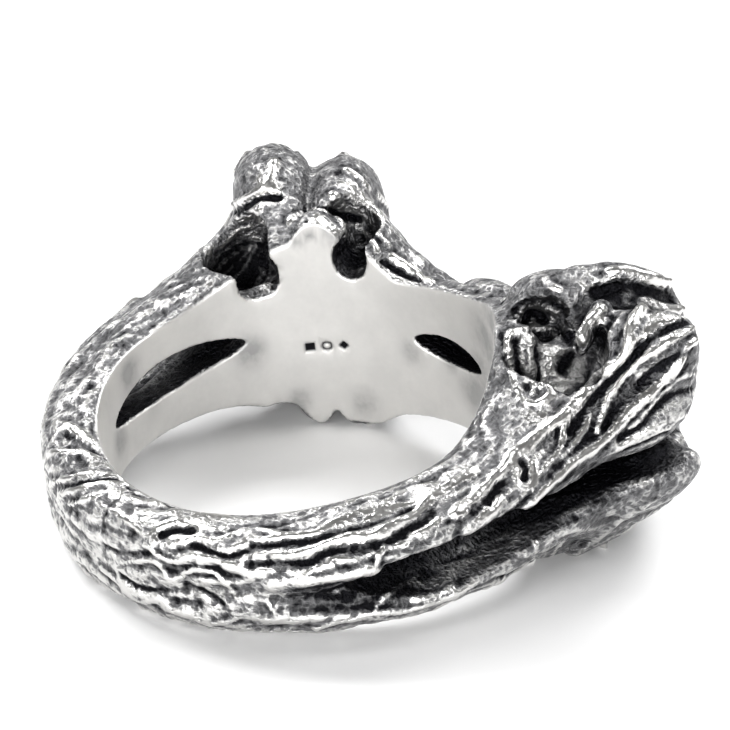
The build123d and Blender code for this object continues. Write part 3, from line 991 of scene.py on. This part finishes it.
def punched(points):
    """Depth of three plain punch marks in the finger hole: a square, a ring and a diamond, each pressed
    in evenly inside its outline."""
    (radius, angle, z), _ = polar_of(points)
    run = (angle - MARK_ANGLE) * math.pi / 180 * BORE_RADIUS
    rise = z - MARK_HEIGHT
    square = np.maximum(np.abs(run + MARK_STEP), np.abs(rise)) - MARK_SIZE
    ring = np.abs(np.hypot(run, rise) - MARK_ROUND * MARK_SIZE) - MARK_LINE * MARK_SIZE
    diamond = (np.abs(run - MARK_STEP) + np.abs(rise)) / math.sqrt(2) - MARK_ROUND * MARK_SIZE
    outline = np.minimum(np.minimum(square, ring), diamond)
    return (1 - smooth_step(*MARK_EDGE, outline)) * (radius < BORE_RADIUS + MARK_REACH)


def carving(points, paths):
    """Height in mm by which the plain form is carved at each point: fibres on the strands, pits on the
    lobes, and the carved lines, all fading out in the finger hole."""
    polar, mirrored = polar_of(points)
    gap = {side: strand(mirrored, side) for side in (1, -1)}
    upper = smooth_step(*LOWER_TO_UPPER, gap[-1] - gap[1])
    height = upper * fibres(polar, 1) + (1 - upper) * fibres(polar, -1)
    off_strand = smooth_step(*OFF_STRAND, np.minimum(gap[-1], gap[1]))
    pits = grain_at(points, WIDE_PITS) * PIT_SHARES[0] + grain_at(points, SMALL_PITS) * PIT_SHARES[1]
    pitted = (pits - 0.5) * PIT_HEIGHT * (PITS_ON_STRAND + PITS_OFF_STRAND * off_strand)
    rough = (grain_at(points, ROUGH_GRAIN) - 0.5) * ROUGH_HEIGHT
    worms = crest(grain_at(points, WORMS)) - CREST_LEVEL
    back = smooth_step(*BACK_OF_SHANK, mirrored[1])
    height = height * (1 - FIBRES_LOST * off_strand) + pitted
    height = height + rough + worms * (WORM_HEIGHT + WORM_HEIGHT_AT_BACK * back)
    lines = line_carving(points, paths)
    height = height * (1 - LINE_CLEARS * np.clip(np.abs(lines) / FULL_LINE, 0, 1)) + lines
    clear = smooth_step(*OFF_FINGER_HOLE, polar[0] - BORE_RADIUS)
    return np.clip(height, *CARVED_RANGE) * clear


def neighbours_of(quads, total):
    """The quads' edges, and how many edges' ends lie at each of a number of vertices, for the means."""
    edges = np.concatenate([quads[:, [i, (i + 1) % 4]] for i in range(4)])
    count = np.bincount(edges.ravel(), minlength=total).astype(float)
    return edges, np.maximum(count, 1)


def neighbour_mean(values, neighbours):
    """Mean of a value at each vertex's neighbours."""
    edges, count = neighbours
    return (np.bincount(edges[:, 0], values[edges[:, 1]], len(values))
            + np.bincount(edges[:, 1], values[edges[:, 0]], len(values))) / count


def smoothed(values, neighbours, rounds):
    """A value per vertex, made half itself and half its neighbours' mean a number of times."""
    for _ in range(rounds):
        values = 0.5 * values + 0.5 * neighbour_mean(values, neighbours)
    return values


def each_axis(vertices, work, *settings):
    """Vertices whose x, y and z each went through the same work on a value per vertex."""
    return np.stack([work(vertices[:, axis], *settings) for axis in range(3)], axis=1)


def vertex_normals(vertices, quads):
    """Normal of each vertex: the sum of its quads' own normals, which are as long as their areas."""
    face = np.cross(vertices[quads[:, 2]] - vertices[quads[:, 0]],
                    vertices[quads[:, 3]] - vertices[quads[:, 1]])
    normal = np.zeros_like(vertices)
    for axis in range(3):
        for corner in range(4):
            normal[:, axis] += np.bincount(quads[:, corner], face[:, axis], len(vertices))
    return normal / np.maximum(np.linalg.norm(normal, axis=1, keepdims=True), 1e-12)


def finger_hole_trued(carved):
    """The carved vertices, with those inside the finger hole's radius moved out onto it and the punch
    marks pressed in, and the share of the marks' depth at each."""
    radius = polar_of(carved)[0][0]
    inside = radius < BORE_RADIUS
    trued = carved.copy()
    trued[inside, :2] *= (BORE_RADIUS / radius)[inside, None]
    marks = punched(trued)
    trued[:, :2] *= 1 + (marks * MARK_DEPTH / BORE_RADIUS)[:, None]
    return trued, marks


def crown_of(carved, quads, height, neighbours, spacing):
    """Crown of each vertex: how much it is carved higher than the places round it, how far it stands
    out of its neighbours' mean along its normal, and the rubbed places less the blackened ones."""
    outward = carved - each_axis(carved, neighbour_mean, neighbours)
    sharpness = np.einsum("ij,ij->i", outward, vertex_normals(carved, quads)) / spacing
    level = height - smoothed(height, neighbours, int(CREST_REACH / spacing) ** 2)
    crown = (CROWN_MIDDLE + CREST_WEIGHT * level / CREST_HEIGHT
             + SHARPNESS_WEIGHT * smoothed(sharpness, neighbours, SHARPNESS_ROUNDS))
    return crown + RUBBED_WEIGHT * about(carved, RUBBED) - BLACKENED_WEIGHT * about(carved, BLACKENED)


def room_before(carved, normals):
    """How open the space in front of each vertex is, 1 in the open and towards 0 in a hollow: the least
    share of the way out along its normal that the ring is away from there."""
    room = np.ones(len(carved))
    for reach in HOLLOW_REACHES:
        room = np.minimum(room, ring_field(carved + normals * reach) / reach)
    return room


def mesh_from(name, vertices, quads, attributes):
    """Mesh of the given vertices and quads with float values per vertex."""
    mesh = bpy.data.meshes.new(name)
    mesh.vertices.add(len(vertices))
    mesh.vertices.foreach_set("co", vertices.astype(np.float32).ravel())
    mesh.loops.add(quads.size)
    mesh.loops.foreach_set("vertex_index", quads.astype(np.int32).ravel())
    mesh.polygons.add(len(quads))
    mesh.polygons.foreach_set("loop_start", np.arange(0, quads.size, 4, dtype=np.int32))
    mesh.polygons.foreach_set("loop_total", np.full(len(quads), 4, np.int32))
    mesh.polygons.foreach_set("use_smooth", np.ones(len(quads), bool))
    mesh.update(calc_edges=True)
    for label, values in attributes.items():
        layer = mesh.attributes.new(label, "FLOAT", "POINT")
        layer.data.foreach_set("value", values.astype(np.float32))
    mesh.validate()
    return mesh


def thinned(dense, smooth_part, triangles):
    """The mesh thinned to a number of triangles while it is in mm, where the thinning tells flat from
    curved, more evenly over its smooth part; then in metres."""
    carrier = bpy.data.objects.new("dense_skin", dense)
    bpy.context.scene.collection.objects.link(carrier)
    group = carrier.vertex_groups.new(name="thin_evenly")
    for part, weight in ((smooth_part, SMOOTH_PART_WEIGHT), (~smooth_part, 1.0)):
        group.add(np.flatnonzero(part).tolist(), weight, "REPLACE")
    thin = carrier.modifiers.new("thin", "DECIMATE")
    thin.ratio = min(1.0, triangles / (2.0 * len(dense.polygons)))
    thin.vertex_group = group.name
    thin.vertex_group_factor = THIN_EVENLY
    depsgraph = bpy.context.evaluated_depsgraph_get()
    mesh = bpy.data.meshes.new_from_object(carrier.evaluated_get(depsgraph))
    bpy.data.objects.remove(carrier)
    bpy.data.meshes.remove(dense)
    mesh.transform(Matrix.Scale(MM, 4))
    return mesh


class Value:
    """A shader value: expressions on it add Math nodes to its tree."""

    def __init__(self, tree, socket):
        self.tree = tree
        self.socket = socket

    def math(self, operation, *others):
        """Math node of an operation on this value and others."""
        node = self.tree.nodes.new("ShaderNodeMath")
        node.operation = operation
        for socket, item in zip(node.inputs, (self,) + others):
            if isinstance(item, Value):
                self.tree.links.new(item.socket, socket)
            else:
                socket.default_value = item
        return Value(self.tree, node.outputs[0])

    def __add__(self, other):
        return self.math("ADD", other)

    __radd__ = __add__

    def __sub__(self, other):
        return self.math("SUBTRACT", other)

    def __rsub__(self, other):
        return (self * -1.0).math("ADD", other)

    def __mul__(self, other):
        return self.math("MULTIPLY", other)

    __rmul__ = __mul__

    def clamped(self):
        """This value held between 0 and 1."""
        return self.math("MAXIMUM", 0.0).math("MINIMUM", 1.0)

    def between(self, low, high):
        """0 below low, 1 above high, straight between."""
        return ((self - low) * (1.0 / (high - low))).clamped()


class Finish:
    """Node tree of one material or of the surroundings, with one method that adds any node."""

    def __init__(self, owner):
        owner.use_nodes = True
        self.tree = owner.node_tree
        self.tree.nodes.clear()

    def node(self, kind, settings=None, **sockets):
        """Node of a type with its settings made first, then its sockets' values or links by name."""
        node = self.tree.nodes.new(kind)
        for key, value in (settings or {}).items():
            setattr(node, key, value)
        for key, value in sockets.items():
            self.put(node.inputs[key.replace("_", " ")], value)
        return node

    def put(self, socket, value):
        """Sets a socket's value, or links it."""
        if isinstance(value, Value):
            self.tree.links.new(value.socket, socket)
        elif isinstance(value, bpy.types.NodeSocket):
            self.tree.links.new(value, socket)
        else:
            socket.default_value = value

    def value(self, socket):
        """A socket as a value for expressions."""
        return Value(self.tree, socket)


def silver_finish(look):
    """Oxidised silver: black in the hollows, bright on worn crests, satin in the finger hole."""
    material = bpy.data.materials.new("oxidised_silver")
    finish = Finish(material)
    place = finish.node("ShaderNodeTexCoord").outputs["Object"]

    def attribute(name):
        """Value that the skin carries under a name."""
        return finish.value(finish.node("ShaderNodeAttribute", {"attribute_name": name}).outputs["Fac"])

    def drawn_out(node, low, high):
        """A noise node's value, a span of it drawn out to run from 0 to 1."""
        return finish.value(node.outputs["Fac"]).between(low, high)

    def noise(scale, detail, roughness, *span):
        """Noise over the skin."""
        return drawn_out(finish.node("ShaderNodeTexNoise", Vector=place, Scale=scale, Detail=detail,
                                     Roughness=roughness), *span)

    def streaks(round_scale, along_scale, detail, roughness, *span):
        """Noise that is long along the strands and narrow round them."""
        around, along = attribute("around") * round_scale, attribute("along") * along_scale
        cell = finish.node("ShaderNodeCombineXYZ", X=around, Y=along)
        return drawn_out(finish.node("ShaderNodeTexNoise", Vector=cell.outputs["Vector"], Scale=1.0,
                                     Detail=detail, Roughness=roughness), *span)

    def colour_mix(factor, low, high):
        """Two colours mixed by a value."""
        mix = finish.node("ShaderNodeMix", {"data_type": "RGBA"})
        for name, value in (("Factor", factor), ("A", low), ("B", high)):
            finish.put(mix.inputs[name], value)
        return mix.outputs["Result"]

    crown, depth, satin, mark, strands = (
        attribute(name) for name in ("crown", "depth", "satin", "mark", "strands"))
    back_rub = attribute("along").math("ABSOLUTE").between(*BACK_RUB)
    worm = WORM_MIDDLE - (noise(*WORM_NOISE) * 2.0 - 1.0).math("ABSOLUTE")
    speck = noise(*SPECK_NOISE) - 0.5
    broad = noise(*BROAD_NOISE) - 0.5
    thread = streaks(*THREAD_NOISE) - 0.5

    def weighed(shares):
        """Worms, specks and threads, each by its share."""
        return worm * shares["worm"] + speck * shares["speck"] + thread * strands * shares["thread"]

    shine = crown + weighed(EDGE_SHARES) + broad * EDGE_SHARES["broad"]
    shine = shine + back_rub * EDGE_SHARES["back_rub"] - look.tarnish_edge
    bright, clear = (
        shine.between(*(share * look.tarnish_blend for share in shares)) * depth.between(*room)
        for shares, room in (BRIGHT_SPANS, PATINA_SPANS))
    stain = noise(*STAIN_NOISE)
    mottle = noise(*MOTTLE_NOISE)
    # Darkened places in the finger hole: partly tarnish, and painted shade at its right end, where it faces
    # away from the light
    dull = attribute("dull") * (LEAST_DULL_AND_SHADE + mottle)
    film = SATIN_BRIGHTNESS + STAIN_SHARE * stain + MOTTLE_SHARE * mottle - DULL_AND_SHADE_SHARE * dull.clamped()
    bright = (bright * CREST_BRIGHTNESS * (1.0 - satin) + satin * film) * (1.0 - mark)
    clear = (clear + satin).clamped() * (1.0 - mark)
    patina = colour_mix(clear, (*look.tarnish_colour, 1.0), (*look.patina_colour, 1.0))
    metal = colour_mix(bright, patina, (*look.silver_colour, 1.0))
    roughness = BLACK_ROUGHNESS - BRIGHT_SMOOTHER * bright + SATIN_ROUGHER * satin
    grit = weighed(BUMP_SHARES) * (1.0 - satin) * (1.0 - bright)
    grit = grit + broad * BUMP_SHARES["broad"] * (1.0 - satin)
    bump = finish.node("ShaderNodeBump", Strength=1.0, Distance=BUMP_HEIGHT * MM, Height=grit)
    shader = finish.node("ShaderNodeBsdfPrincipled", Base_Color=metal, Metallic=1.0,
                         Roughness=roughness, Normal=bump.outputs["Normal"])
    finish.node("ShaderNodeOutputMaterial", Surface=shader.outputs["BSDF"])
    return material


class BoneRingSizes(bpy.types.PropertyGroup):
    """Sizes of the ring's skin and carving."""
    spacing: FloatProperty(name="Skin spacing", description="Distance between the skin's vertices",
                           default=0.00012, min=0.00005, unit="LENGTH")
    rough_spacing: FloatProperty(name="Rough skin spacing", description="The same for a quick look",
                                 default=0.00022, min=0.00005, unit="LENGTH")
    triangles: FloatProperty(name="Triangles", description="Most triangles that the skin is thinned to",
                             default=196000.0, min=1000.0)


class BoneRingLook(bpy.types.PropertyGroup):
    """Colours of the silver, and how far it is blackened."""
    silver_colour: FloatVectorProperty(name="Silver", description="Colour of worn and polished metal",
                                       subtype="COLOR", default=(0.80, 0.79, 0.77), min=0, max=1)
    patina_colour: FloatVectorProperty(name="Patina", description="Colour of the greyed slopes",
                                       subtype="COLOR", default=(0.24, 0.24, 0.245), min=0, max=1)
    tarnish_colour: FloatVectorProperty(name="Tarnish", description="Colour of the blackened hollows",
                                        subtype="COLOR", default=(0.012, 0.012, 0.014), min=0, max=1)
    tarnish_edge: FloatProperty(name="Tarnish edge", default=0.22, subtype="FACTOR",
                                description="How high the blackening climbs, as a share")
    tarnish_blend: FloatProperty(name="Tarnish blend", default=0.75, min=0.05, subtype="FACTOR",
                                 description="How softly the blackening ends, as a share")


class BoneRingStage(bpy.types.PropertyGroup):
    """Light and floor."""
    sky_low: FloatProperty(name="Light at the sides", default=0.12, min=0.0,
                           description="Brightness of the white surroundings low down")
    sky_high: FloatProperty(name="Light overhead", default=0.08, min=0.0,
                            description="Brightness of the white surroundings overhead")
    lamp_power: FloatProperty(name="Lamp power", description="Power of a lamp whose share is 1",
                              default=3.0, min=0.0, unit="POWER")
    lamp_size: FloatProperty(name="Lamp size", description="Width of each lamp's round screen",
                             default=0.28, min=0.01, unit="LENGTH")
    lamp_distance: FloatProperty(name="Lamp distance", description="Distance of the lamps from the ring",
                                 default=0.6, min=0.05, unit="LENGTH")
    floor_colour: FloatVectorProperty(name="Floor", description="Colour of the floor", subtype="COLOR",
                                      default=(0.86, 0.86, 0.86), min=0, max=1)


class CastBoneRing(bpy.types.Operator):
    """Reads the ring's skin off its field, carves it, and finishes it in oxidised silver"""
    bl_idname = "bone_ring.cast_ring"
    bl_label = "Cast Ring"

    def execute(self, context):
        sizes = context.scene.bone_ring_sizes
        spacing = sizes.spacing / MM
        vertices, quads = plain_skin(spacing)
        vertices = onto_skin(vertices, 1)
        normals = field_normals(vertices)
        height = carving(vertices, carved_paths())
        carved = vertices + normals * height[:, None]
        neighbours = neighbours_of(quads, len(carved))
        flowed = each_axis(carved, smoothed, neighbours, SOFTENING_ROUNDS)
        off_bore = polar_of(carved)[0][0] > BORE_RADIUS + SHARP_RIM
        carved[off_bore] = flowed[off_bore]
        carved, marks = finger_hole_trued(carved)

        stood_off = polar_of(carved)[0][0] - BORE_RADIUS - marks * MARK_DEPTH
        satin = 1 - smooth_step(*SATIN_EDGE, stood_off)
        around, along, strands = grown_along(carved)
        values = {"crown": crown_of(carved, quads, height, neighbours, spacing),
                  "depth": room_before(carved, normals), "satin": satin, "mark": marks,
                  # Darkened places of the finger hole: partly tarnish, and painted shade at its right end
                  "dull": about(carved, DULLED_AND_SHADED) * satin,
                  "around": around, "along": along, "strands": strands}
        in_row = tipped(carved, REST_TILT) + BORE_CENTRE
        in_row[:, 2] = np.maximum(in_row[:, 2], 0.0)
        dense = mesh_from("dense_skin", in_row, quads, values)
        mesh = thinned(dense, satin > 0.5, sizes.triangles)
        mesh.name = "bone_ring_skin"
        ring = bpy.data.objects.new("bone_ring_skin", mesh)
        context.scene.collection.objects.link(ring)
        mesh.materials.append(silver_finish(context.scene.bone_ring_look))
        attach(ring, "root")
        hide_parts("bone_ring")
        return {"FINISHED"}


class SetBoneRingStage(bpy.types.Operator):
    """Sets the pale floor, the soft studio light and the camera"""
    bl_idname = "bone_ring.set_stage"
    bl_label = "Set Stage"

    def execute(self, context):
        stage = context.scene.bone_ring_stage
        scene = context.scene
        scene.view_settings.view_transform = "Standard"
        right, up, back = (Vector(axis) for axis in view_axes())
        centre = Vector(BORE_CENTRE * MM)
        data = bpy.data.cameras.new("camera")
        camera = bpy.data.objects.new("camera", data)
        scene.collection.objects.link(camera)
        scene.camera = camera
        middle = PHOTO_SIZE / 2
        aim = (centre + right * ((middle - BORE_IN_PHOTO[0]) / PHOTO_SCALE * MM)
               + up * ((BORE_IN_PHOTO[1] - middle) / PHOTO_SCALE * MM))
        camera.location = centre + back * PHOTO_DISTANCE * MM
        camera.rotation_euler = (aim - camera.location).to_track_quat("-Z", "Y").to_euler()
        data.lens = data.sensor_width * PHOTO_SCALE * PHOTO_DISTANCE / PHOTO_SIZE
        data.clip_start, data.clip_end = CAMERA_CLIP

        floor_mesh = bpy.data.meshes.new("floor")
        corners = [(FLOOR_REACH * x, FLOOR_REACH * y, 0) for x, y in ((-1, -1), (1, -1), (1, 1), (-1, 1))]
        floor_mesh.from_pydata(corners, [], [(0, 1, 2, 3)])
        floor = bpy.data.objects.new("floor", floor_mesh)
        scene.collection.objects.link(floor)
        pale = bpy.data.materials.new("pale_floor")
        finish = Finish(pale)
        shader = finish.node("ShaderNodeBsdfPrincipled", Base_Color=(*stage.floor_colour, 1.0),
                             Roughness=FLOOR_ROUGHNESS)
        finish.node("ShaderNodeOutputMaterial", Surface=shader.outputs["BSDF"])
        floor_mesh.materials.append(pale)
        floor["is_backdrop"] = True

        world = bpy.data.worlds.new("studio")
        scene.world = world
        sky = Finish(world)
        direction = sky.node("ShaderNodeTexCoord").outputs["Generated"]
        height = sky.value(sky.node("ShaderNodeSeparateXYZ", Vector=direction).outputs["Z"]).clamped()
        light = stage.sky_low + (stage.sky_high - stage.sky_low) * height
        background = sky.node("ShaderNodeBackground", Color=(1.0, 1.0, 1.0, 1.0), Strength=light)
        sky.node("ShaderNodeOutputWorld", Surface=background.outputs["Background"])

        toward = Vector((back.x, back.y, 0.0)).normalized()
        for name, height, turn, share in LAMPS:
            light_data = bpy.data.lights.new(name, "AREA")
            light_data.shape = "DISK"
            light_data.size = stage.lamp_size
            light_data.energy = stage.lamp_power * share
            light = bpy.data.objects.new(name, light_data)
            scene.collection.objects.link(light)
            height, turn = math.radians(height), math.radians(turn)
            level = toward * math.cos(turn) + right * math.sin(turn)
            way = level * math.cos(height) + Vector((0.0, 0.0, math.sin(height)))
            light.location = centre + way * stage.lamp_distance
            light.rotation_euler = way.to_track_quat("Z", "Y").to_euler()
        return {"FINISHED"}


class BoneRingPanel(bpy.types.Panel):
    """Sidebar panel with the ring's and the stage's buttons and sizes"""
    bl_idname = "VIEW3D_PT_bone_ring"
    bl_label = "Bone Ring"
    bl_space_type = "VIEW_3D"
    bl_region_type = "UI"
    bl_category = "Bone Ring"

    def draw(self, context):
        layout = self.layout
        for operator in OPERATORS:
            layout.operator(operator.bl_idname)
        for name in GROUPS:
            settings = getattr(context.scene, name)
            column = layout.column()
            for key in settings.__annotations__:
                column.prop(settings, key)


OPERATORS = (CastBoneRing, SetBoneRingStage)
GROUPS = {"bone_ring_sizes": BoneRingSizes, "bone_ring_look": BoneRingLook,
          "bone_ring_stage": BoneRingStage}


def register():
    """Registers the classes and puts the settings on the scene."""
    for item in (*GROUPS.values(), *OPERATORS, BoneRingPanel):
        bpy.utils.register_class(item)
    for name, group in GROUPS.items():
        setattr(bpy.types.Scene, name, PointerProperty(type=group))


def unregister():
    """Takes the settings off the scene and unregisters the classes."""
    for name in GROUPS:
        delattr(bpy.types.Scene, name)
    for item in (BoneRingPanel, *reversed(OPERATORS), *reversed(tuple(GROUPS.values()))):
        bpy.utils.unregister_class(item)


def main():
    """Builds the ring and the stage."""
    register()
    bpy.ops.bone_ring.set_stage()
    bpy.ops.bone_ring.cast_ring()
    boxes = [[list(corner) for corner in box] for box in (CAD_BOX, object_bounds())]


if __name__ == "__main__":
    main()
